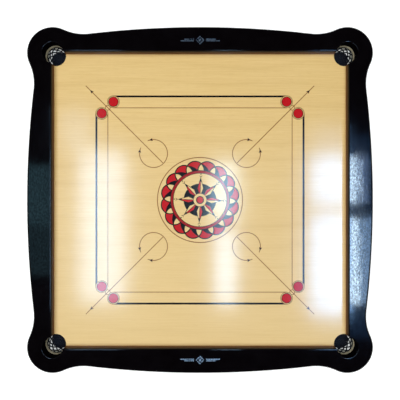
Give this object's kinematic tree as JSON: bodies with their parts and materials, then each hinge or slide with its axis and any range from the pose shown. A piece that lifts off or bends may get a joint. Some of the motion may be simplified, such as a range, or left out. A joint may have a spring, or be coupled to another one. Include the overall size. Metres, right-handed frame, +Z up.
{
  "type": "carrom board",
  "caption": "Square carrom board: pale plywood playing surface with printed lines and a centre rose, in a black bowed frame with a netted pocket in each round corner.",
  "frame": {"origin": "centre of the board, on the plane of the frame's underside, which it lies on", "axes": "+Z up out of the playing surface, +Y towards the back rail, +X towards the right rail"},
  "size_m": [0.86, 0.86, 0.0601],
  "materials": {
    "frame_lacquer": "gloss black lacquer on hardwood",
    "strip_hardwood": "polished brown hardwood",
    "dowel_beech": "raw",
    "play_veneer": "clear gloss lacquer on pale veneer",
    "batten_pine": "raw sawn wood",
    "screw_steel": "yellow zinc plated",
    "net_cord": "knotted black cord",
    "tack_steel": "plain",
    "ink_black": "printed ink under lacquer",
    "ink_brown": "fine printed ink under lacquer",
    "ink_red": "printed ink under lacquer",
    "foil_silver": "stamped foil"
  },
  "bodies": {
    "root": {"rail_front": "frame_lacquer", "rail_right": "frame_lacquer", "rail_back": "frame_lacquer", "rail_left": "frame_lacquer", "strip_front": "strip_hardwood", "strip_right": "strip_hardwood", "strip_back": "strip_hardwood", "strip_left": "strip_hardwood", "mitre_dowels_front_right": "dowel_beech", "mitre_dowels_back_right": "dowel_beech", "mitre_dowels_back_left": "dowel_beech", "mitre_dowels_front_left": "dowel_beech", "playing_panel": "play_veneer", "ledger_front": "batten_pine", "ledger_right": "batten_pine", "ledger_back": "batten_pine", "ledger_left": "batten_pine", "cross_batten_front": "batten_pine", "cross_batten_back": "batten_pine", "cross_batten_left": "batten_pine", "cross_batten_right": "batten_pine", "ledger_screws": "screw_steel", "batten_screws": "screw_steel", "net_front_right": "net_cord", "net_back_right": "net_cord", "net_back_left": "net_cord", "net_front_left": "net_cord", "net_tacks_front_right": "tack_steel", "net_tacks_back_right": "tack_steel", "net_tacks_back_left": "tack_steel", "net_tacks_front_left": "tack_steel", "ink_thick_lines": "ink_black", "ink_petals_black": "ink_black", "ink_star_black": "ink_black", "ink_fine_lines": "ink_brown", "ink_arrow_heads": "ink_brown", "ink_base_spots": "ink_red", "ink_petals_red": "ink_red", "ink_star_red": "ink_red", "foil_front": "foil_silver", "foil_back": "foil_silver"}
  },
  "joints": []
}
